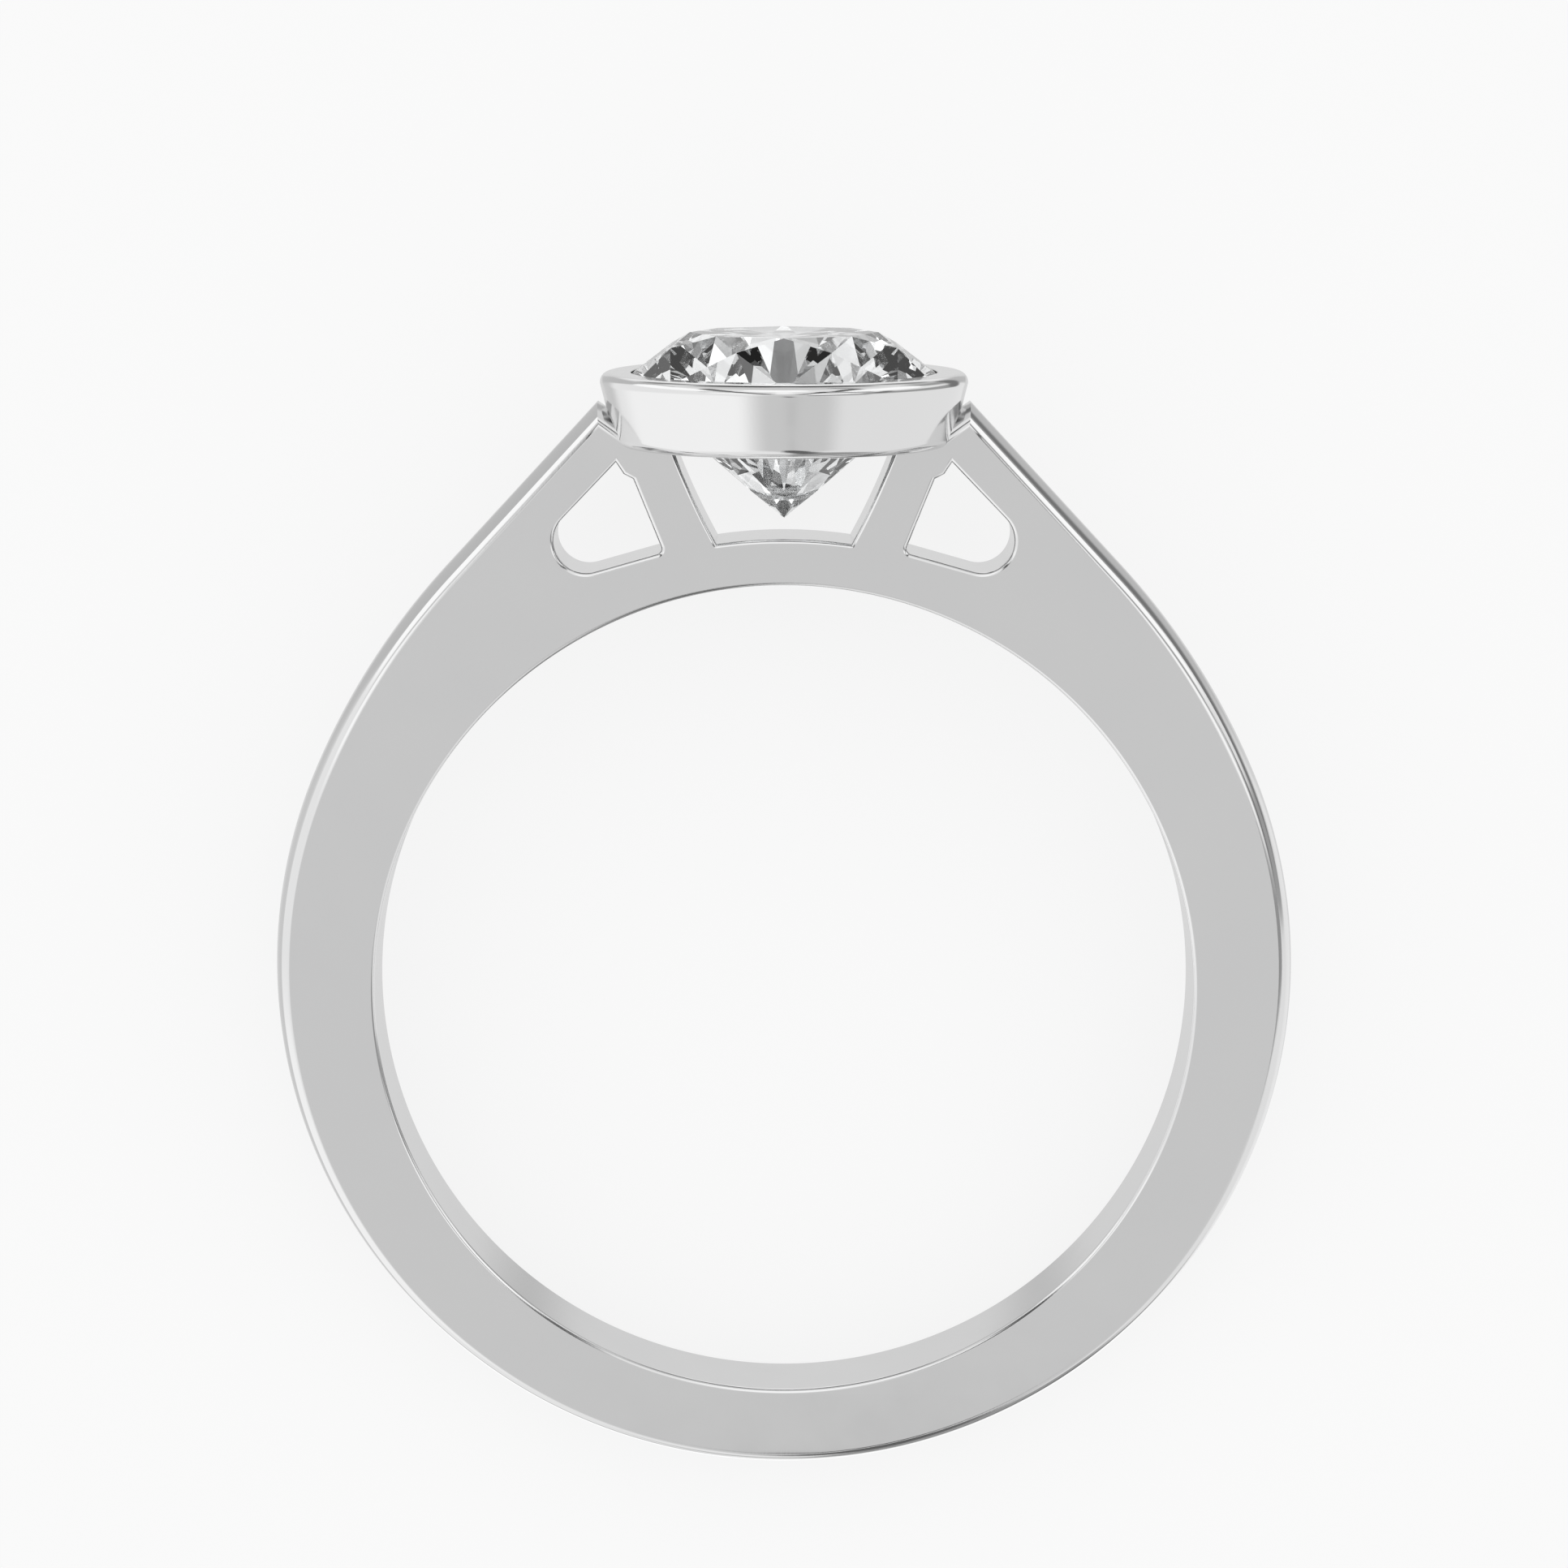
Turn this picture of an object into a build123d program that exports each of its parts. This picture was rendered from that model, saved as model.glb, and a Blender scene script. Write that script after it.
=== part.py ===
from build123d import *
import os
from math import acos, atan2, cos, degrees, hypot, radians, sin, sqrt, tan

os.makedirs("parts", exist_ok=True)

# Sizes in millimetres.  The ring is drawn upright first: X across, Y along the
# finger axis, Z up towards the stone, origin at the centre of the finger hole.

# shank
HOLE_R = 8.565            # finger hole, US size 6 3/4
BAND_W = 2.10             # width along the finger axis
FACE_R = 10.328           # radius of the flat side face's outer edge
FACE_UP = 0.367           # that circle sits this far above the hole's centre
BLEND_R = 14.62           # larger arc that leads into the shoulder
BLEND_FROM = 22.8         # degrees above the horizontal where it starts
SHOULDER_N = 42.8         # degrees of the straight shoulder's normal
DOME = 0.36               # rise of the rounded outside above the side face's edge
DOME_FILLET = 0.20        # rounding between side face and outside
BORE_EDGE = 0.088         # rounding of the hole's and openings' edges

# shoulder end beside the bezel
CREST_X = 3.808
END_SLOPE = 35.0          # degrees, falling towards the bezel
END_IN_X = 3.30           # where the end runs into the bezel wall

# bezel, as radius and height
RIM_R = 3.81              # greatest radius, on the rim's rounding
RIM_Z = 12.92
RIM_ROUND = 0.20
TAPER = 14.0              # degrees of the wall, narrower towards the foot
FOOT_Z = 11.40
FOOT_ROUND = 0.26
CUP_FOOT_R = 2.62

# round brilliant stone
GIRDLE_R = 3.25
TABLE_R = 1.95            # to the table's corners
CROWN_H = 0.92
GIRDLE_H = 0.15           # where the mains meet it
PAVILION_H = 2.78
TABLE_Z = 13.73
STAR_REACH = 0.50         # star facets, share of the way from table to girdle
LOWER_REACH = 0.77        # lower girdle facets, share of the way to the culet
GIRDLE_PARTS = 4          # flats of the girdle to each girdle facet
GAP = 0.03                # between the stone and its seat

HW = BAND_W / 2


def polar(cx, cz, r, deg):
    """Point at an angle above the horizontal on the left side of the ring."""
    return (cx - r * cos(radians(deg)), cz + r * sin(radians(deg)))


def slab(face, width=BAND_W):
    """A drawing in the XZ plane made into a plate centred on Y = 0."""
    return extrude(Plane.XZ * face, amount=width / 2, both=True)


# ---- outline of the flat side face, left half -------------------------------
blend_c = (
    (BLEND_R - FACE_R) * cos(radians(BLEND_FROM)),
    FACE_UP - (BLEND_R - FACE_R) * sin(radians(BLEND_FROM)),
)
p_bottom = (0.0, FACE_UP - FACE_R)
p_low = polar(0, FACE_UP, FACE_R, -40)
p_blend = polar(0, FACE_UP, FACE_R, BLEND_FROM)
p_mid = polar(*blend_c, BLEND_R, (BLEND_FROM + SHOULDER_N) / 2)
p_line = polar(*blend_c, BLEND_R, SHOULDER_N)
run_dir = (sin(radians(SHOULDER_N)), cos(radians(SHOULDER_N)))
run = (-CREST_X - p_line[0]) / run_dir[0]
p_crest = (p_line[0] + run * run_dir[0], p_line[1] + run * run_dir[1])
end_dir = (cos(radians(END_SLOPE)), -sin(radians(END_SLOPE)))
end_run = (CREST_X - END_IN_X) / end_dir[0]
p_end = (p_crest[0] + end_run * end_dir[0], p_crest[1] + end_run * end_dir[1])


# ---- rounded outside, drawn as a cross-section ------------------------------
def outside_section(depth):
    """Cross-section: first axis outwards from the side face's edge, second axis along the finger."""
    corner = DOME_FILLET * 0.645
    outline = make_face(
        Polyline((corner, -HW), (-depth, -HW), (-depth, HW), (corner, HW))
        + ThreePointArc((corner, HW), (DOME, 0), (corner, -HW))
    )
    corners = outline.vertices().filter_by(lambda v: v.X > 0)
    return fillet(corners, DOME_FILLET)


def section_at(point, normal, depth):
    """The cross-section standing at a point of the outline, facing along the outline's normal."""
    plane = Plane(
        origin=(point[0], 0, point[1]),
        x_dir=(normal[0], 0, normal[1]),
        z_dir=Vector(normal[0], 0, normal[1]).cross(Vector(0, 1, 0)),
    )
    return plane * outside_section(depth)


def left_normal(deg):
    return (-cos(radians(deg)), sin(radians(deg)))


STRIP = 0.6
WIDE = 9.0


def swing(point, normal, centre, angle, depth):
    """Turn the cross-section about a centre of the outline."""
    axis = Axis((centre[0], 0, centre[1]), (0, 1, 0))
    return revolve(section_at(point, normal, depth), axis, revolution_arc=angle)


n_blend = left_normal(BLEND_FROM)
n_line = left_normal(SHOULDER_N)
n_end = (sin(radians(END_SLOPE)), cos(radians(END_SLOPE)))


def run_along(point, normal, direction, back, ahead, depth):
    start = (point[0] - back * direction[0], point[1] - back * direction[1])
    length = back + ahead
    return extrude(
        section_at(start, normal, depth),
        amount=length,
        dir=(direction[0], 0, direction[1]),
    )


lower = swing(p_blend, n_blend, (0, FACE_UP), -(180 + 2 * BLEND_FROM), STRIP)
blend = swing(p_blend, n_blend, blend_c, SHOULDER_N - BLEND_FROM, STRIP)
shoulder = run_along(p_line, n_line, run_dir, 0.0, run + 1.2, STRIP)
shoulder_wide = run_along(p_line, n_line, run_dir, 1.0, run + 3.0, WIDE)
end = run_along(p_crest, n_end, end_dir, 1.2, end_run, STRIP)
end_wide = run_along(p_crest, n_end, end_dir, 8.0, 3.0, WIDE)
upper_left = blend + (shoulder & end_wide) + (end & shoulder_wide)
upper_right = mirror(upper_left, Plane.YZ)

# ---- flat plate of shank, shoulders, struts and bridge ----------------------
def opening_corner(x, z, r=0.0):
    return {"x": x, "z": z, "r": r}


# corners of the left side opening, measured on the side face, with their rounding
side_corners = [
    opening_corner(-3.446, 11.261),
    opening_corner(-6.527, 8.028, 0.75),
    opening_corner(-2.375, 9.210, 0.20),
    opening_corner(-3.036, 10.839, 0.09),
    opening_corner(-3.238, 10.944),
]
BRIDGE_R = 9.45           # top of the bridge, about the hole's centre
strut_wall = [(-2.354, 11.347), (-2.035, 10.550), (-1.515, 9.480)]


def closed(points):
    return make_face(Polyline(*points, close=True))


def rounded_opening(corners):
    face = closed([(c["x"], c["z"]) for c in corners])
    for c in corners:
        if c["r"]:
            at = face.vertices().sort_by_distance((c["x"], c["z"], 0))[0]
            face = fillet(at, c["r"])
    return offset(face, amount=-BORE_EDGE, kind=Kind.INTERSECTION)


top_z = p_end[1]
outline = make_face(
    Curve() + [
        ThreePointArc(p_bottom, p_low, p_blend),
        ThreePointArc(p_blend, p_mid, p_line),
        Polyline(p_line, p_crest, p_end, (0, top_z), p_bottom),
    ]
)
outline += mirror(outline, Plane.YZ)

# the middle opening: bridge arc below, leaning strut walls at the sides, open above
u = (sin(radians(65)) * BORE_EDGE, cos(radians(65)) * BORE_EDGE)
wall = [(x + u[0], z + u[1]) for x, z in strut_wall]
lean = ((wall[1][0] - wall[0][0]) / (wall[0][1] - wall[1][1]))
wall_top = (wall[0][0] - lean * (top_z + 0.5 - wall[0][1]), top_z + 0.5)
wall_arc = ThreePointArc(wall[0], wall[1], wall[2])
foot_dir = (wall[2][0] - wall[1][0], wall[2][1] - wall[1][1])
wall_low = (wall[2][0] + 0.6 * foot_dir[0], wall[2][1] + 0.6 * foot_dir[1])
middle = make_face(
    Curve() + [
        Polyline(wall_top, wall[0]),
        wall_arc,
        Polyline(wall[2], wall_low, (0, wall_low[1]), (0, wall_top[1]), wall_top),
    ]
)
middle += mirror(middle, Plane.YZ)
middle -= Circle(BRIDGE_R + BORE_EDGE)

side = rounded_opening(side_corners)
flat = outline - Circle(HOLE_R) - side - mirror(side, Plane.YZ) - middle
plate = slab(flat)


def inner_edge(edge):
    """Front and back edges of the finger hole and of the openings."""
    p = edge.position_at(0.5)
    if abs(abs(p.Y) - HW) > 1e-4 or abs(edge.position_at(0).Y - p.Y) > 1e-4:
        return False
    if abs(hypot(p.X, p.Z) - HOLE_R) < 1e-3:
        return True
    beside = 2.2 < abs(p.X) < 5.1 and 8.6 < p.Z < 11.3
    between = abs(p.X) < 2.4 and 9.2 < p.Z < top_z - 0.01
    return beside or between


plate = fillet(plate.edges().filter_by(inner_edge), BORE_EDGE)

# ---- bezel ------------------------------------------------------------------
taper = tan(radians(TAPER))
corner_r = RIM_R + RIM_ROUND * (taper + sqrt(1 + taper**2) - 1)
foot_r = corner_r - taper * (RIM_Z - FOOT_Z)
bezel_outline = closed([(0, FOOT_Z), (foot_r, FOOT_Z), (corner_r, RIM_Z), (0, RIM_Z)])
rim_corner = bezel_outline.vertices().sort_by_distance((corner_r, RIM_Z, 0))[0]
bezel_outline = fillet(rim_corner, RIM_ROUND)
foot_corner = bezel_outline.vertices().sort_by_distance((foot_r, FOOT_Z, 0))[0]
bezel_outline = fillet(foot_corner, FOOT_ROUND)
bezel_body = revolve(Plane.XZ * bezel_outline, Axis.Z)

# the stone's heights and slopes, which the seat follows
STEP = 22.5
girdle_top = TABLE_Z - CROWN_H
girdle_foot = girdle_top - GIRDLE_H
crown_slope = CROWN_H / (GIRDLE_R - TABLE_R)
pavilion_slope = PAVILION_H / GIRDLE_R
star_r = TABLE_R * cos(radians(STEP))
star_r += STAR_REACH * (GIRDLE_R - star_r)
star_z = TABLE_Z - (star_r * cos(radians(STEP)) - TABLE_R) * crown_slope
ridge_slope = (star_z - girdle_top) / (GIRDLE_R - star_r)
low_r = GIRDLE_R * (1 - LOWER_REACH)
low_z = girdle_foot - PAVILION_H + low_r * cos(radians(STEP)) * pavilion_slope


def seat_above(r):
    """Height of the pressed-over lip's underside, a gap above the crown."""
    return girdle_top + (GIRDLE_R - r) * ridge_slope + GAP * sqrt(1 + ridge_slope**2)


def seat_below(r):
    """Height of the seat, a gap under the pavilion."""
    return girdle_foot - (GIRDLE_R - r) * pavilion_slope - GAP * sqrt(1 + pavilion_slope**2)


seat_r = GIRDLE_R + GAP
lip_r = GIRDLE_R - (RIM_Z - seat_above(GIRDLE_R)) / ridge_slope
cup = closed(
    [
        (0, FOOT_Z),
        (CUP_FOOT_R, FOOT_Z),
        (3.02, seat_below(3.02)),
        (seat_r, seat_below(seat_r)),
        (seat_r, seat_above(seat_r)),
        (lip_r, RIM_Z),
        (lip_r + 0.03, RIM_Z + 0.3),
        (0, RIM_Z + 0.3),
    ]
)
cup_space = revolve(Plane.XZ * cup, Axis.Z)

metal = plate + lower + upper_left + upper_right + bezel_body - cup_space


# ---- stone ------------------------------------------------------------------
def ring_point(r, deg, z):
    return (r * cos(radians(deg)), r * sin(radians(deg)), z)


culet = (0, 0, girdle_foot - PAVILION_H)


def facet(*points):
    return Face(Wire.make_polygon(points, close=True))


def along_girdle(tip, start, end):
    """Points round the girdle where the plane through tip, start and end cuts it."""
    normal = (Vector(*start) - Vector(*tip)).cross(Vector(*end) - Vector(*tip))
    a0, a1 = (degrees(atan2(p[1], p[0])) for p in (start, end))
    a1 = a0 + (a1 - a0 + 180) % 360 - 180
    points = [start]
    for k in range(1, GIRDLE_PARTS):
        x, y, _ = ring_point(GIRDLE_R, a0 + (a1 - a0) * k / GIRDLE_PARTS, 0)
        rise = normal.X * (x - start[0]) + normal.Y * (y - start[1])
        points.append((x, y, start[2] - rise / normal.Z))
    return points + [end]


facets = [facet(*[ring_point(TABLE_R, 45 * k, TABLE_Z) for k in range(8)])]
for k in range(8):
    a = 45 * k
    t0, t1 = ring_point(TABLE_R, a, TABLE_Z), ring_point(TABLE_R, a + 45, TABLE_Z)
    s0, s1 = ring_point(star_r, a - STEP, star_z), ring_point(star_r, a + STEP, star_z)
    g0, g1, g2 = (ring_point(GIRDLE_R, a + d, girdle_top) for d in (0, STEP, 45))
    b0, b1, b2 = (ring_point(GIRDLE_R, a + d, girdle_foot) for d in (0, STEP, 45))
    l0, l1 = ring_point(low_r, a - STEP, low_z), ring_point(low_r, a + STEP, low_z)
    facets += [facet(t0, t1, s1), facet(t0, s1, g0, s0), facet(culet, l1, b0, l0)]
    for (ga, gb), (ba, bb) in (((g0, g1), (b0, b1)), ((g1, g2), (b1, b2))):
        upper = along_girdle(s1, ga, gb)
        lower_edge = along_girdle(l1, ba, bb)
        facets += [facet(s1, *upper), facet(l1, *lower_edge)]
        for u0, u1, v0, v1 in zip(upper, upper[1:], lower_edge, lower_edge[1:]):
            facets.append(facet(u0, v0, v1, u1))
stone = Solid(Shell(facets))

# ---- laid on its side, resting on the bezel's rim and the shank's back edge --
dome_r = ((DOME - DOME_FILLET * 0.645) ** 2 + HW**2) / (2 * (DOME - DOME_FILLET * 0.645))
dome_c = DOME - dome_r
edge_c = dome_c + sqrt((dome_r - DOME_FILLET) ** 2 - (HW - DOME_FILLET) ** 2)
rim_c = (RIM_R - RIM_ROUND, RIM_Z - RIM_ROUND)
heel_c = (HW - DOME_FILLET, FACE_UP - FACE_R - edge_c)
reach, length = rim_c[0] - heel_c[0], rim_c[1] - heel_c[1]
tilt = acos((DOME_FILLET - RIM_ROUND) / hypot(reach, length)) - atan2(length, reach)
floor_z = -rim_c[0] * cos(tilt) + rim_c[1] * sin(tilt) - RIM_ROUND
top_y = TABLE_R * sin(tilt) + TABLE_Z * cos(tilt)
bottom_y = (FACE_UP - FACE_R - dome_c) * cos(tilt) - dome_r
placed = Pos(0, -(top_y + bottom_y) / 2, -floor_z) * Rot(X=degrees(tilt) - 90)

for name, piece in (("band_and_bezel", metal), ("stone", stone)):
    export_step(placed * piece, f"parts/{name}.step")
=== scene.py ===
from math import acos, asin, atan2, cos, degrees, hypot, pi, radians, sin, sqrt

import bmesh
import bpy
from mathutils import Matrix, Vector
from mathutils.geometry import tessellate_polygon


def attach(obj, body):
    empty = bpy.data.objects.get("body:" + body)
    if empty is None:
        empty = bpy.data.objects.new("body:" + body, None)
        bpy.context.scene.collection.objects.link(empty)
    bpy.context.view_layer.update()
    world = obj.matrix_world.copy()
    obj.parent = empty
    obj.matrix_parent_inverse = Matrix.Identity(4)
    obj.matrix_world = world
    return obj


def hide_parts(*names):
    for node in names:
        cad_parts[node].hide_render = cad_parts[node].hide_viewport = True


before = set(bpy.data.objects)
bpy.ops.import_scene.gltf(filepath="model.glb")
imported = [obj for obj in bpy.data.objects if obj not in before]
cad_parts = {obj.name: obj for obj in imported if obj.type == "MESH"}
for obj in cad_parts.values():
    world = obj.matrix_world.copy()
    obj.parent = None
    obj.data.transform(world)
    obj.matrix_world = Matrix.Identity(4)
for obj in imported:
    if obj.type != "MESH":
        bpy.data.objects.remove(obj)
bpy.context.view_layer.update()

MM = 0.001
V = Vector

# ---- sizes of the ring, upright, in millimetres ------------------------------------
HOLE_R = 8.565
BAND_W = 2.10
FACE_R, FACE_UP = 10.328, 0.367
BLEND_R, BLEND_FROM = 14.62, 22.8
SHOULDER_N = 42.8
DOME, DOME_FILLET = 0.36, 0.20
BORE_EDGE = 0.088
CREST_X, END_SLOPE, END_IN_X = 3.808, 35.0, 3.30
RIM_R, RIM_Z, RIM_ROUND, TAPER = 3.81, 12.92, 0.20, 14.0
FOOT_Z, FOOT_ROUND, CUP_FOOT_R = 11.40, 0.26, 2.62
GIRDLE_R, TABLE_R = 3.25, 1.95
CROWN_H, GIRDLE_H, PAVILION_H = 0.92, 0.15, 2.78
TABLE_Z = 13.73
STAR_REACH = 0.50
GAP = 0.03
HW = BAND_W / 2

# the domed outside's cross-section: centres measured outwards from the side face's edge
dome_r = ((DOME - DOME_FILLET * 0.645) ** 2 + HW**2) / (2 * (DOME - DOME_FILLET * 0.645))
dome_c = DOME - dome_r
edge_y = HW - DOME_FILLET
edge_c = dome_c + sqrt((dome_r - DOME_FILLET) ** 2 - edge_y**2)
edge_a = degrees(asin(edge_y / (dome_r - DOME_FILLET)))

# ---- lying on its side, on the rim and the heel of the shank, as the CAD part lies ---
rim_c = (RIM_R - RIM_ROUND, RIM_Z - RIM_ROUND)
heel_c = (edge_y, FACE_UP - FACE_R - edge_c)
reach, length = rim_c[0] - heel_c[0], rim_c[1] - heel_c[1]
TILT = acos((DOME_FILLET - RIM_ROUND) / hypot(reach, length)) - atan2(length, reach)
floor_z = -rim_c[0] * cos(TILT) + rim_c[1] * sin(TILT) - RIM_ROUND
top_y = TABLE_R * sin(TILT) + TABLE_Z * cos(TILT)
bottom_y = (FACE_UP - FACE_R - dome_c) * cos(TILT) - dome_r
HOLE = Vector((0.0, -(top_y + bottom_y) / 2, -floor_z)) * MM
LAY = Matrix.Translation(HOLE) @ Matrix.Rotation(TILT - pi / 2, 4, "X")

# ---- camera at the photograph's angle to the ring ---------------------------------
FOCAL_PX, FRAME_PX = 5945.5, 1932.0
PITCH = radians(9.059)
eye = LAY @ (Vector((0.0, -100.0, 20.213)) * MM)
right = Vector((1, 0, 0))
back = LAY.to_3x3() @ Vector((0, -cos(PITCH), sin(PITCH)))
up = LAY.to_3x3() @ Vector((0, sin(PITCH), cos(PITCH)))
cam_data = bpy.data.cameras.new("camera")
cam_data.sensor_width = 36.0
cam_data.lens = 36.0 * FOCAL_PX / FRAME_PX
cam_data.clip_start = 0.005
cam_data.clip_end = 20.0
cam = bpy.data.objects.new("camera", cam_data)
bpy.context.scene.collection.objects.link(cam)
cam.matrix_world = Matrix.Translation(eye) @ Matrix((right, up, back)).transposed().to_4x4()
bpy.context.scene.camera = cam

scene = bpy.context.scene
scene.view_settings.view_transform = "Standard"
scene.view_settings.look = "None"
scene.view_settings.exposure = 0.0
scene.view_settings.gamma = 1.0
scene.cycles.max_bounces = 24
scene.cycles.transmission_bounces = 20
scene.cycles.glossy_bounces = 8
scene.cycles.diffuse_bounces = 4
scene.cycles.caustics_reflective = False
scene.cycles.caustics_refractive = False

def ray(deg):
    return Vector((cos(radians(deg)), sin(radians(deg))))


def arc(centre, r, start, end, step):
    """Points of a circular arc, with both ends."""
    n = max(1, round(abs(end - start) / step))
    return [Vector(centre) + r * ray(start + (end - start) * k / n) for k in range(n + 1)]


def meet(p, a, q, b):
    """Where the line from p along a meets the line from q along b."""
    d = a.x * b.y - a.y * b.x
    return p + a * (((q - p).x * b.y - (q - p).y * b.x) / d)


def rounded(corners, step):
    """A closed outline from corners (x, z, rounding), its rounded corners made arcs."""
    out = []
    n = len(corners)
    for k, (x, z, r) in enumerate(corners):
        p = Vector((x, z))
        a = (Vector(corners[k - 1][:2]) - p).normalized()
        b = (Vector(corners[(k + 1) % n][:2]) - p).normalized()
        if not r:
            out.append(p)
            continue
        half = acos(a.dot(b)) / 2
        middle = p + (a + b).normalized() * r / sin(half)
        t1, t2 = p + a * r / tan_(half), p + b * r / tan_(half)
        s = degrees(atan2(*(t1 - middle).yx))
        e = degrees(atan2(*(t2 - middle).yx))
        e = s + (e - s + 180) % 360 - 180
        out += arc(middle, r, s, e, step)
    return out


def tan_(a):
    return sin(a) / cos(a)


# ---- outlines on the flat side face -------------------------------------------------
blend_c = (BLEND_R - FACE_R) * Vector((cos(radians(BLEND_FROM)), -sin(radians(BLEND_FROM))))
blend_c.y += FACE_UP
half_outline = arc((0, FACE_UP), FACE_R, 270, 180 - BLEND_FROM, 1.0)
half_outline += arc(blend_c, BLEND_R, 180 - BLEND_FROM, 180 - SHOULDER_N, 1.0)[1:]
line_start = half_outline[-1]
run_dir = ray(90 - SHOULDER_N)
crest = line_start + run_dir * ((-CREST_X - line_start.x) / run_dir.x)
end_dir = ray(-END_SLOPE)
inner_end = crest + end_dir * ((CREST_X - END_IN_X) / end_dir.x)
half_outline += [line_start.lerp(crest, k / 12) for k in range(1, 13)] + [inner_end]
half_outline += [V((x, inner_end.y + rise)) for x, rise in ((-2.80, 0), (-2.72, 0.45))]  # in the bezel
outer = half_outline + [Vector((-p.x, p.y)) for p in reversed(half_outline[1:])]

hole = arc((0, 0), HOLE_R + BORE_EDGE, 0, 360, 1.0)[:-1]

SIDE_CORNERS = (          # x, z, rounding
    (-3.446, 11.261, 0.0),
    (-6.527, 8.028, 0.75),
    (-2.375, 9.210, 0.20),
    (-3.036, 10.839, 0.09),
    (-3.238, 10.944, 0.0),
)
left_side = rounded(SIDE_CORNERS, 5.0)
right_side = [Vector((-p.x, p.y)) for p in reversed(left_side)]

# middle opening: leaning strut walls, a bridge arc below; its top is cut away by the cup
BRIDGE_R = 9.45
STRUT_WALL = ((-2.354, 11.347), (-2.035, 10.550), (-1.515, 9.480))    # x, z
MIDDLE_TOP = FOOT_Z + BORE_EDGE + 0.04


def circle_through(a, b, c):
    ab, bc = (a + b) / 2, (b + c) / 2
    centre = meet(ab, Vector((-(b - a).y, (b - a).x)), bc, Vector((-(c - b).y, (c - b).x)))
    return centre, (a - centre).length


w0, w1, w2 = (Vector(p) for p in STRUT_WALL)
wall_c, wall_r = circle_through(w0, w1, w2)
ang = [degrees(atan2(*(p - wall_c).yx)) for p in (w0, w2)]
ang = [a % 360 for a in ang]
wall = arc(wall_c, wall_r, ang[0], ang[1], 1.0)
upper = wall[0] + (wall[0] - wall[1]).normalized() * ((MIDDLE_TOP - wall[0].y) / (wall[0] - wall[1]).normalized().y)
low_dir = (wall[-1] - wall[-2]).normalized()
foot = wall[-1]
while foot.length > BRIDGE_R:
    foot = foot + low_dir * 0.0005
left_half = [upper] + wall + [foot]
start = degrees(atan2(foot.y, foot.x))
bridge = arc((0, 0), BRIDGE_R, start, 180 - start, 0.8)[1:-1]
middle = left_half + bridge + [Vector((-p.x, p.y)) for p in reversed(left_half)]

# ---- profiles from the front face to the back face: distance outwards, depth --------
dome_profile = arc((edge_c, -edge_y), DOME_FILLET, -90, -edge_a, 6.0)
dome_profile += arc((dome_c, 0), dome_r, -edge_a, edge_a, 1.5)[1:]
dome_profile += arc((edge_c, edge_y), DOME_FILLET, edge_a, 90, 6.0)[1:]

e = BORE_EDGE
edge_profile = arc((0, -HW + e), e, -90, 0, 10.0) + arc((0, HW - e), e, 0, 90, 10.0)


def make_mesh(name, points, faces):
    m = bpy.data.meshes.new(name)
    m.from_pydata([tuple(p) for p in points], [], faces)
    m.validate()
    return m


def plate_mesh(loops):
    """A flat plate from its outlines, each with the profile its edge has. The air is left of each outline."""
    points, faces, fronts, backs = [], [], [], []
    for outline, profile in loops:
        n, m = len(outline), len(profile)
        base = len(points)
        for k, p in enumerate(outline):
            a = (p - outline[k - 1]).normalized()
            b = (outline[(k + 1) % n] - p).normalized()
            na, nb = Vector((-a.y, a.x)), Vector((-b.y, b.x))
            out = (na + nb) / (1 + na.dot(nb))
            for s in profile:
                points.append((p.x + out.x * s.x, s.y, p.y + out.y * s.x))
        for k in range(n):
            k2 = (k + 1) % n
            for j in range(m - 1):
                faces.append((base + k * m + j, base + k2 * m + j, base + k2 * m + j + 1, base + k * m + j + 1))
        fronts.append([base + k * m for k in range(n)])
        backs.append([base + k * m + m - 1 for k in range(n)])
    for side, ids, sign in (("front", fronts, -1), ("back", backs, 1)):
        flat = [i for loop in ids for i in loop]
        polys = [[Vector((points[i][0], points[i][2], 0)) for i in loop] for loop in ids]
        for tri in tessellate_polygon(polys):
            a, b, c = (flat[t] for t in tri)
            pa, pb, pc = (points[t] for t in (a, b, c))
            turn = (pb[0] - pa[0]) * (pc[2] - pa[2]) - (pb[2] - pa[2]) * (pc[0] - pa[0])
            if abs(turn) < 1e-12:
                continue
            faces.append((a, b, c) if (turn > 0) == (sign < 0) else (a, c, b))
    return make_mesh("plate", points, faces)


def spin_mesh(name, profile, steps):
    """A turned solid from a profile (r, z) that starts and ends on the axis, anticlockwise."""
    points, faces = [], []
    first, last = profile[0], profile[-1]
    points += [(0, 0, first.y), (0, 0, last.y)]
    inner = profile[1:-1]
    m = len(inner)
    for k in range(steps):
        a = 2 * pi * k / steps
        points += [(p.x * cos(a), p.x * sin(a), p.y) for p in inner]
    at = lambda k, j: 2 + (k % steps) * m + j
    for k in range(steps):
        for j in range(m - 1):
            faces.append((at(k, j), at(k + 1, j), at(k + 1, j + 1), at(k, j + 1)))
        faces.append((0, at(k + 1, 0), at(k, 0)))
        faces.append((1, at(k, m - 1), at(k + 1, m - 1)))
    return make_mesh(name, points, faces)


# ---- bezel and cup as turned solids --------------------------------------------------
def corner(p, q, r_, radius, step):
    """Rounding at corner q between p and r_, as points."""
    a, b = (p - q).normalized(), (r_ - q).normalized()
    half = acos(a.dot(b)) / 2
    c = q + (a + b).normalized() * radius / sin(half)
    t1, t2 = q + a * radius / tan_(half), q + b * radius / tan_(half)
    s, e_ = (degrees(atan2(*(t - c).yx)) for t in (t1, t2))
    e_ = s + (e_ - s + 180) % 360 - 180
    return arc(c, radius, s, e_, step)


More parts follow.
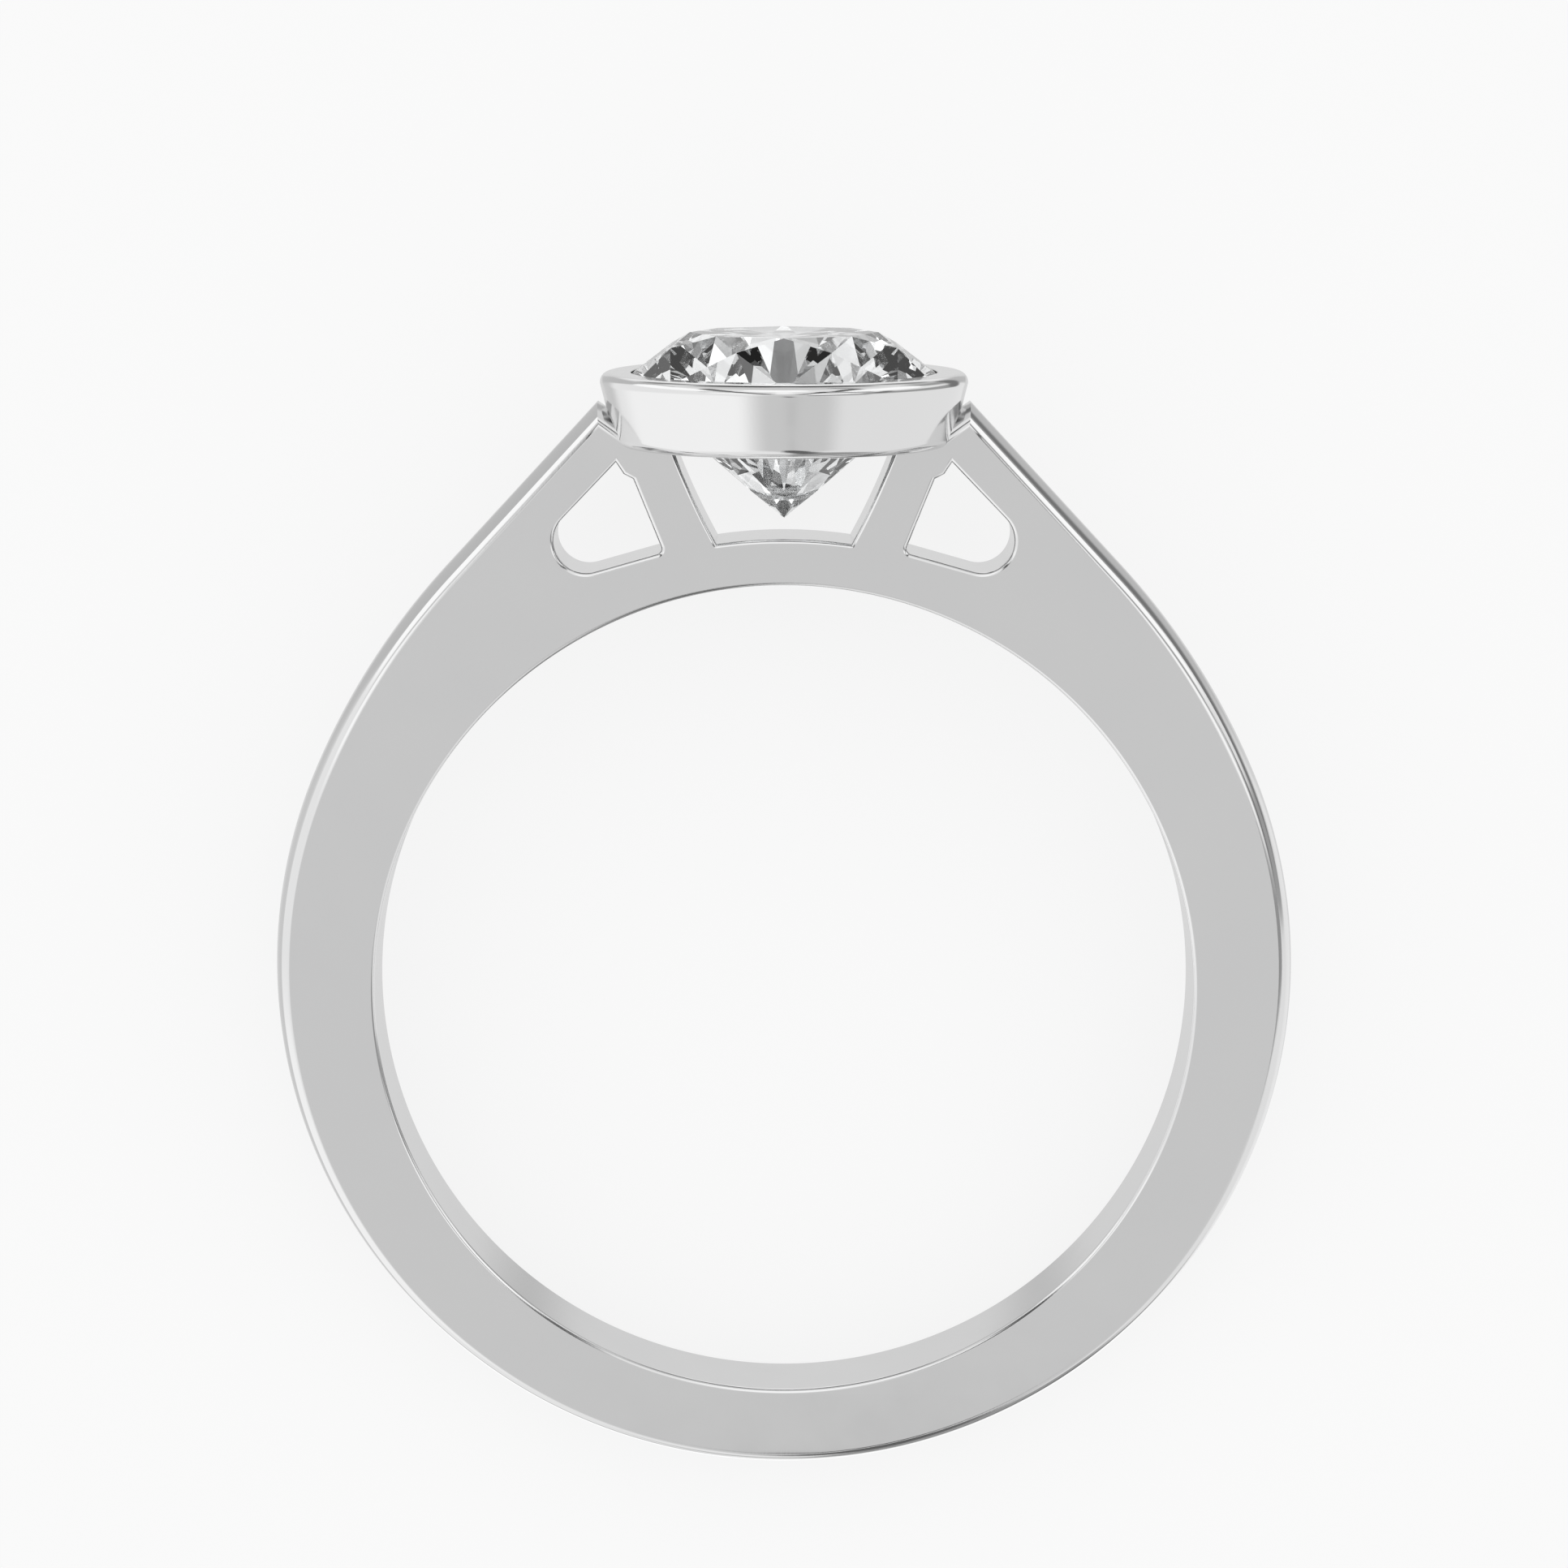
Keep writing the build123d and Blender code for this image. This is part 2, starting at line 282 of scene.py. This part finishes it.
taper = tan_(radians(TAPER))
corner_r = RIM_R + RIM_ROUND * (taper + sqrt(1 + taper**2) - 1)
foot_r = corner_r - taper * (RIM_Z - FOOT_Z)
foot_in, foot_out = V((0, FOOT_Z)), V((foot_r, FOOT_Z))
rim_out, rim_in = V((corner_r, RIM_Z)), V((0, RIM_Z))
bezel_profile = [foot_in] + corner(foot_in, foot_out, rim_out, FOOT_ROUND, 6.0)
bezel_profile += corner(foot_out, rim_out, rim_in, RIM_ROUND, 6.0) + [rim_in]

STEP = radians(22.5)
girdle_top = TABLE_Z - CROWN_H
girdle_foot = girdle_top - GIRDLE_H
crown_slope = CROWN_H / (GIRDLE_R - TABLE_R)
pavilion_slope = PAVILION_H / GIRDLE_R
star_r = TABLE_R * cos(STEP)
star_r += STAR_REACH * (GIRDLE_R - star_r)
star_z = TABLE_Z - (star_r * cos(STEP) - TABLE_R) * crown_slope
ridge_slope = (star_z - girdle_top) / (GIRDLE_R - star_r)


def seat_above(r):
    return girdle_top + (GIRDLE_R - r) * ridge_slope + GAP * sqrt(1 + ridge_slope**2)


def seat_below(r):
    return girdle_foot - (GIRDLE_R - r) * pavilion_slope - GAP * sqrt(1 + pavilion_slope**2)


seat_r = GIRDLE_R + GAP
lip_r = GIRDLE_R - (RIM_Z - seat_above(GIRDLE_R)) / ridge_slope
LIP_ROUND = 0.02          # the lip's inner edge, just broken
cup_slope = (3.02 - CUP_FOOT_R) / (seat_below(3.02) - FOOT_Z)
cup_profile = [
    V((0, FOOT_Z - 0.03)),
    V((CUP_FOOT_R - 0.03 * cup_slope, FOOT_Z - 0.03)),
    V((3.02, seat_below(3.02))),
    V((seat_r, seat_below(seat_r))),
    V((seat_r, seat_above(seat_r))),
    V((lip_r, RIM_Z - LIP_ROUND)),
    V((lip_r + 0.3 * LIP_ROUND, RIM_Z - 0.3 * LIP_ROUND)),
    V((lip_r + LIP_ROUND, RIM_Z + 0.0001)),
    V((lip_r + 0.06, RIM_Z + 0.3)),
    V((0, RIM_Z + 0.3)),
]


def joined(first, *others):
    """First mesh with the others added or cut, in order."""
    o = bpy.data.objects.new("joining", first)
    scene.collection.objects.link(o)
    made = []
    for mesh, how in others:
        t = bpy.data.objects.new("tool", mesh)
        scene.collection.objects.link(t)
        made.append(t)
        mod = o.modifiers.new("join", "BOOLEAN")
        mod.operation, mod.object, mod.solver = how, t, "EXACT"
    bpy.context.view_layer.update()
    out = bpy.data.meshes.new_from_object(o.evaluated_get(bpy.context.evaluated_depsgraph_get()))
    for t in made + [o]:
        bpy.data.objects.remove(t)
    return out


def settle_normals(mesh, sharp=20.0):
    """Custom normals: large faces keep theirs, and roundings run smoothly into them."""
    bm = bmesh.new()
    bm.from_mesh(mesh)
    bm.normal_update()
    limit = cos(radians(sharp))
    normals = {}
    for v in bm.verts:
        left = set(v.link_faces)
        while left:
            group, grow = [], [left.pop()]
            while grow:
                f = grow.pop()
                group.append(f)
                for edge in f.edges:
                    if v in edge.verts:
                        for g in edge.link_faces:
                            if g in left and g.normal.dot(f.normal) > limit:
                                left.discard(g)
                                grow.append(g)
            n = Vector()
            for f in group:
                n += f.normal * f.calc_area()
            n.normalize()
            for f in group:
                normals[(f.index, v.index)] = n
    loops = [normals[(p.index, mesh.loops[i].vertex_index)] for p in mesh.polygons for i in p.loop_indices]
    bm.free()
    mesh.shade_smooth()
    mesh.normals_split_custom_set(loops)


plate = plate_mesh([(outer, dome_profile), (hole, edge_profile), (left_side, edge_profile),
                    (right_side, edge_profile), (middle, edge_profile)])
bezel = spin_mesh("bezel", bezel_profile, 240)
cup = spin_mesh("cup", cup_profile, 240)
metal_mesh = joined(plate, (bezel, "UNION"), (cup, "DIFFERENCE"))
metal_mesh.transform(LAY @ Matrix.Scale(MM, 4))
settle_normals(metal_mesh)
metal_mesh.name = "ring_metal"
metal = bpy.data.objects.new("ring_metal", metal_mesh)
scene.collection.objects.link(metal)
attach(metal, "root")
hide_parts("band_and_bezel")


# ---- materials -----------------------------------------------------------------
def new_material(name):
    m = bpy.data.materials.new(name)
    m.use_nodes = True
    m.node_tree.nodes.clear()
    return m, m.node_tree


def node(tree, kind, **inputs):
    n = tree.nodes.new(kind)
    for key, value in inputs.items():
        n.inputs[key.replace("_", " ")].default_value = value
    return n


FLOOR_ALBEDO, FLOOR_GLOW = 0.10, 0.86


def object_point(tree):
    return tree.nodes.new("ShaderNodeTexCoord").outputs["Object"]


def noise(tree, point, size, detail, rough=0.5):
    """Noise with cells of about a size in metres."""
    n = node(tree, "ShaderNodeTexNoise", Scale=1 / size, Detail=detail, Roughness=rough)
    tree.links.new(point, n.inputs["Vector"])
    return n.outputs["Fac"]


def spread(tree, value, low, high, frm=0.3, to=0.7):
    n = node(tree, "ShaderNodeMapRange", From_Min=frm, From_Max=to, To_Min=low, To_Max=high)
    tree.links.new(value, n.inputs["Value"])
    return n.outputs[0]


def metal_material(name, smooth, worn, lines_depth):
    """Polished metal: patches where the polish is a little duller, and faint polishing lines."""
    m, t = new_material(name)
    point = object_point(t)
    bsdf = node(t, "ShaderNodeBsdfPrincipled", Metallic=1.0)
    t.links.new(spread(t, noise(t, point, 0.9 * MM, 3.0), smooth, worn), bsdf.inputs["Roughness"])
    tone = node(t, "ShaderNodeMix")
    tone.data_type = "RGBA"
    tone.inputs["A"].default_value = (0.785, 0.786, 0.790, 1)
    tone.inputs["B"].default_value = (0.815, 0.814, 0.812, 1)
    t.links.new(noise(t, point, 2.5 * MM, 2.0), tone.inputs["Factor"])
    t.links.new(tone.outputs["Result"], bsdf.inputs["Base Color"])
    along = node(t, "ShaderNodeMapping")
    along.inputs["Scale"].default_value = (1.0, 0.12, 1.0)
    t.links.new(point, along.inputs["Vector"])
    lines = node(t, "ShaderNodeBump", Strength=1.0, Distance=lines_depth)
    t.links.new(noise(t, along.outputs[0], 0.05 * MM, 2.0, 0.6), lines.inputs["Height"])
    t.links.new(lines.outputs[0], bsdf.inputs["Normal"])
    out = node(t, "ShaderNodeOutputMaterial")
    t.links.new(bsdf.outputs["BSDF"], out.inputs["Surface"])
    return m


def stone_material():
    """Clear stone with crisp facets and a finely ground girdle."""
    m, t = new_material("clear stone")
    point = object_point(t)
    glass = node(t, "ShaderNodeBsdfPrincipled", IOR=2.417)
    glass.inputs["Transmission Weight"].default_value = 1.0
    glass.inputs["Base Color"].default_value = (0.985, 0.995, 1.0, 1)
    axis = LAY.to_3x3() @ Vector((0, 0, 1))
    middle = LAY @ (Vector((0, 0, girdle_top - GIRDLE_H / 2)) * MM)
    height = node(t, "ShaderNodeVectorMath")
    height.operation = "DOT_PRODUCT"
    height.inputs[1].default_value = axis
    t.links.new(point, height.inputs[0])
    off = node(t, "ShaderNodeMath")
    off.operation = "SUBTRACT"
    off.inputs[1].default_value = middle.dot(axis)
    t.links.new(height.outputs["Value"], off.inputs[0])
    off_abs = node(t, "ShaderNodeMath")
    off_abs.operation = "ABSOLUTE"
    t.links.new(off.outputs[0], off_abs.inputs[0])
    on_girdle = node(t, "ShaderNodeMath")
    on_girdle.operation = "LESS_THAN"
    on_girdle.inputs[1].default_value = GIRDLE_H / 2 * 0.98 * MM
    t.links.new(off_abs.outputs[0], on_girdle.inputs[0])
    ground = node(t, "ShaderNodeMath")
    ground.operation = "MULTIPLY"
    t.links.new(on_girdle.outputs[0], ground.inputs[0])
    t.links.new(spread(t, noise(t, point, 0.06 * MM, 2.0), 0.16, 0.34), ground.inputs[1])
    t.links.new(ground.outputs[0], glass.inputs["Roughness"])
    out = node(t, "ShaderNodeOutputMaterial")
    t.links.new(glass.outputs["BSDF"], out.inputs["Surface"])
    return m


metal_mesh.materials.clear()
metal_mesh.materials.append(metal_material("polished white gold", 0.08, 0.13, 0.0003 * MM))
metal_mesh.materials.append(metal_material("bright cut seat", 0.0, 0.012, 0.00002 * MM))
to_upright = LAY.inverted()
for face in metal_mesh.polygons:
    middle_of = to_upright @ face.center / MM
    facing = to_upright.to_3x3() @ face.normal
    in_cup = hypot(middle_of.x, middle_of.y) < seat_r + 0.02 and FOOT_Z - 0.001 < middle_of.z < RIM_Z
    face.material_index = int(in_cup and facing.x * middle_of.x + facing.y * middle_of.y < -0.05)
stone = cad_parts["stone"]
stone.data.materials.clear()
stone.data.materials.append(stone_material())

# ---- floor ---------------------------------------------------------------------
mesh = bpy.data.meshes.new("floor")
S = 2.5
mesh.from_pydata([(-S, -S, 0), (S, -S, 0), (S, S, 0), (-S, S, 0)], [], [(0, 1, 2, 3)])
floor = bpy.data.objects.new("floor", mesh)
scene.collection.objects.link(floor)
fm, ft = new_material("pale floor")
fb = node(ft, "ShaderNodeBsdfPrincipled", Roughness=0.9)
fb.inputs["Specular IOR Level"].default_value = 0.0
fb.inputs["Base Color"].default_value = (FLOOR_ALBEDO,) * 3 + (1,)
fb.inputs["Emission Color"].default_value = (1, 1, 1, 1)
fb.inputs["Emission Strength"].default_value = FLOOR_GLOW
fo = node(ft, "ShaderNodeOutputMaterial")
ft.links.new(fb.outputs["BSDF"], fo.inputs["Surface"])
mesh.materials.append(fm)
floor.visible_glossy = False         # the polished ring mirrors the studio all round it
floor.visible_transmission = False
floor.visible_shadow = False

# ---- soft studio light, laid out round the ring in its own upright directions -------
def card(az0, el0, az1, el1, half, soft, level):
    """A light or a dark card from one direction to another: az degrees to the right of
    the ring's front, el degrees up, its half width, the width of its soft edge, and how
    bright it is."""
    return dict(az0=az0, el0=el0, az1=az1, el1=el1, half=half, soft=soft, level=level)


PALE = 0.95               # plain pale studio, seen directly and lighting the floor
WALLS = 0.95
CARDS = (                 # what the metal mirrors: az0, el0, az1, el1, half, soft, level
    card(75, -28, 130, -28, 30, 40, 0.89),      # right wall
    card(30, -74, 140, -74, 14, 10, 0.36),      # under right
    card(-80, -88, 20, -88, 4, 16, 0.50),       # under left
    card(-150, 90, 150, 90, 20, 30, 0.68),      # ceiling
    card(-180, 72, -120, 72, 9, 6, 0.08),       # unlit, high behind
    card(120, 72, 180, 72, 9, 6, 0.12),
    card(-148, 46, -142, 46, 7, 6, 0.28),
    card(142, 46, 148, 46, 7, 6, 0.30),
    card(-152, -60, -152, 0, 8, 14, 0.66),      # back left
    card(-166, 6, -124, 37, 8, 8, 0.57),
    card(166, 6, 124, 37, 8, 8, 0.55),          # back right
    card(180, -52, 180, -30, 12, 6, 1.12),      # back strip
    card(-180, -52, -180, -30, 12, 6, 1.12),
    card(166, -6, 180, -6, 7, 5, 0.72),         # back, level
    card(-180, -6, -166, -6, 7, 5, 0.72),
    card(180, 32, 180, 48, 5, 5, 1.20),         # back, bright strip above it
    card(-180, 32, -180, 48, 5, 5, 1.20),
    card(175, 11, 180, 11, 7, 4, 0.73),         # back, above it
    card(-180, 11, -175, 11, 7, 4, 0.73),
    card(-110, -33, -46, -33, 12, 14, 1.08),    # left, low
    card(0, -4, 0, -20, 6, 14, 0.70),           # behind the camera
    card(-2, -28, 18, -34, 9, 18, 0.69),
    card(-12, 3, 0, 10, 5, 6, 0.86),
    card(-120, 38, -96, 40, 4, 4, 0.42),        # upper left, back
    card(103, 38, 125, 29, 4, 5, 0.38),         # upper right, back
    card(58, 3, 130, 4, 6, 5, 0.38),            # right flag, far
    card(62, 3, 68, 12, 3, 4, 0.20),
    card(19, -10, 50, -7, 3, 5, 0.32),          # right flag, near
    card(127, -60, 139, -44, 7, 6, 0.13),       # back right, low
    card(134, 4, 142, 26, 5, 6, 0.20),          # back right
    card(30, 18, 54, 16, 2, 5, 0.36),
    card(-52, 19, -38, 18, 2, 4, 0.62),
    card(-112, 33, -54, 33, 8, 4, 1.20),        # left strip
    card(50, 31, 96, 32, 8, 4, 1.20),           # right strip
    card(-44, 12, -24, 5, 3, 4, 1.16),          # low left strip
    card(20, 5, 37, 5, 3, 4, 1.16),             # low right strip
    card(0, 14, 0, 30, 3, 5, 1.12),             # stem
    card(-20, 46, 8, 46, 9, 4, 1.20),           # high box
    card(-30, 60, 20, 60, 3, 5, 0.72),
    card(-10, 7, -26, 21, 2, 4, 0.10),
    card(-26, 21, -42, 33, 2, 4, 0.08),
    card(-42, 33, -62, 46, 3, 5, 0.10),
    card(10, 4, 22, 19, 1, 4, 0.08),
    card(22, 19, 26, 28, 2, 4, 0.06),
    card(34, 29, 46, 42, 2, 5, 0.08),
    card(46, 42, 57, 47, 3, 4, 0.12),
    card(61, 48, 61, 68, 2, 4, 0.12),
    card(2, -22, 4, -26, 1, 4, 0.08),
    card(6, -42, 14, -48, 5, 4, 0.06),
    card(10, -52, 26, -62, 5, 10, 0.14),
)
FACET_CELL = 8.5          # how many small light and dark cards, for each radian
FACET_TONES = (           # share of the cards up to here, brightness
    (0.00, 0.00), (0.12, 0.03), (0.13, 0.25), (0.30, 0.35), (0.31, 0.62),
    (0.55, 0.75), (0.56, 0.95), (0.82, 1.10), (0.83, 1.45), (1.00, 1.80),
)

FACET_CARDS = (           # a few larger ones among them, where the stone's front facets look
    card(180, -15, 180, -15, 5, 0.5, 0.20),
    card(-180, -15, -180, -15, 5, 0.5, 0.20),
    card(168, -15, 168, -15, 4, 0.5, 1.20),
    card(-168, -15, -168, -15, 4, 0.5, 0.85),
    card(154, 4, 154, 4, 4, 0.5, 0.06),
    card(-154, 4, -154, 4, 4, 0.5, 0.40),
    card(168, 1, 170, 1, 3, 0.5, 0.60),
    card(-168, 1, -170, 1, 3, 0.5, 0.10),
    card(56, 14, 56, 14, 5, 0.5, 0.10),
    card(-56, 14, -56, 14, 5, 0.5, 0.95),
    card(-176, 34, -180, 34, 4, 0.5, 0.01),
    card(176, 34, 180, 34, 4, 0.5, 0.30),
    card(86, 31, 86, 31, 5, 0.5, 0.75),
    card(-86, 31, -86, 31, 5, 0.5, 0.20),
)

world = bpy.data.worlds.new("studio")
scene.world = world
world.use_nodes = True
world.cycles.sampling_method = "NONE"
wt = world.node_tree
wt.nodes.clear()


def put(value, socket):
    if hasattr(value, "node"):
        wt.links.new(value, socket)
    else:
        socket.default_value = value


def math_node(op, a, b=0.0, clamp=False):
    n = wt.nodes.new("ShaderNodeMath")
    n.operation, n.use_clamp = op, clamp
    put(a, n.inputs[0])
    put(b, n.inputs[1])
    return n.outputs[0]


def vector_node(op, a, b=None, scale=None):
    n = wt.nodes.new("ShaderNodeVectorMath")
    n.operation = op
    put(a, n.inputs[0])
    if b is not None:
        put(b, n.inputs[1])
    if scale is not None:
        put(scale, n.inputs["Scale"])
    return n.outputs["Value" if op in ("DOT_PRODUCT", "DISTANCE") else "Vector"]


def lit(cards, level):
    """How bright the studio is in each direction: each card is laid over the ones before it."""
    for c in cards:
        start = (c["az0"], c["el0"], 0.0)
        run = Vector((c["az1"] - c["az0"], c["el1"] - c["el0"], 0.0))
        if run.length:
            v = vector_node("SUBTRACT", where, start)
            t = math_node("ADD", vector_node("DOT_PRODUCT", v, run / run.length_squared), clamp=True)
            far = vector_node("DISTANCE", v, vector_node("SCALE", run, scale=t))
        else:
            far = vector_node("DISTANCE", where, start)
        n = wt.nodes.new("ShaderNodeMapRange")
        n.interpolation_type = "SMOOTHSTEP"
        for value, key in ((far, "Value"), (c["half"], "From Min"), (c["half"] + c["soft"], "From Max"),
                           (c["level"], "To Min"), (level, "To Max")):
            put(value, n.inputs[key])
        level = n.outputs[0]
    return level


def shine(strength):
    n = wt.nodes.new("ShaderNodeBackground")
    n.inputs["Color"].default_value = (1, 1, 1, 1)
    put(strength, n.inputs["Strength"])
    return n.outputs[0]


def either(chosen, a, b):
    n = wt.nodes.new("ShaderNodeMixShader")
    for value, socket in zip((chosen, a, b), n.inputs):
        put(value, socket)
    return n.outputs[0]


turn = wt.nodes.new("ShaderNodeVectorRotate")
turn.rotation_type = "X_AXIS"
turn.inputs["Angle"].default_value = pi / 2 - TILT
put(wt.nodes.new("ShaderNodeTexCoord").outputs["Generated"], turn.inputs["Vector"])
parts = wt.nodes.new("ShaderNodeSeparateXYZ")
put(turn.outputs[0], parts.inputs[0])
pair = wt.nodes.new("ShaderNodeCombineXYZ")
az = math_node("ARCTAN2", parts.outputs["X"], math_node("MULTIPLY", parts.outputs["Y"], -1.0))
put(az, pair.inputs["X"])
put(math_node("ARCSINE", parts.outputs["Z"]), pair.inputs["Y"])
where = vector_node("SCALE", pair.outputs[0], scale=180 / pi)


def faceted():
    """Small crisp light and dark cards all round, for the stone to pick out."""
    cells = wt.nodes.new("ShaderNodeTexVoronoi")
    cells.voronoi_dimensions, cells.feature = "3D", "F1"
    cells.inputs["Scale"].default_value = FACET_CELL
    cells.inputs["Randomness"].default_value = 1.0
    put(turn.outputs[0], cells.inputs["Vector"])
    pick = wt.nodes.new("ShaderNodeSeparateColor")
    put(cells.outputs["Color"], pick.inputs[0])
    tones = wt.nodes.new("ShaderNodeFloatCurve")
    curve = tones.mapping.curves[0]
    tones.mapping.use_clip = False
    for share, level in FACET_TONES[1:-1]:
        curve.points.new(share, level)
    curve.points[0].location, curve.points[-1].location = FACET_TONES[0], FACET_TONES[-1]
    for p in curve.points:
        p.handle_type = "VECTOR"
    tones.mapping.update()
    put(pick.outputs["Red"], tones.inputs["Value"])
    return tones.outputs[0]


ray_kind = wt.nodes.new("ShaderNodeLightPath").outputs
mirrored = either(ray_kind["Is Transmission Ray"], shine(lit(CARDS, WALLS)), shine(lit(FACET_CARDS, faceted())))
direct = math_node("MAXIMUM", ray_kind["Is Camera Ray"], ray_kind["Is Diffuse Ray"])
put(either(direct, mirrored, shine(PALE)), wt.nodes.new("ShaderNodeOutputWorld").inputs["Surface"])
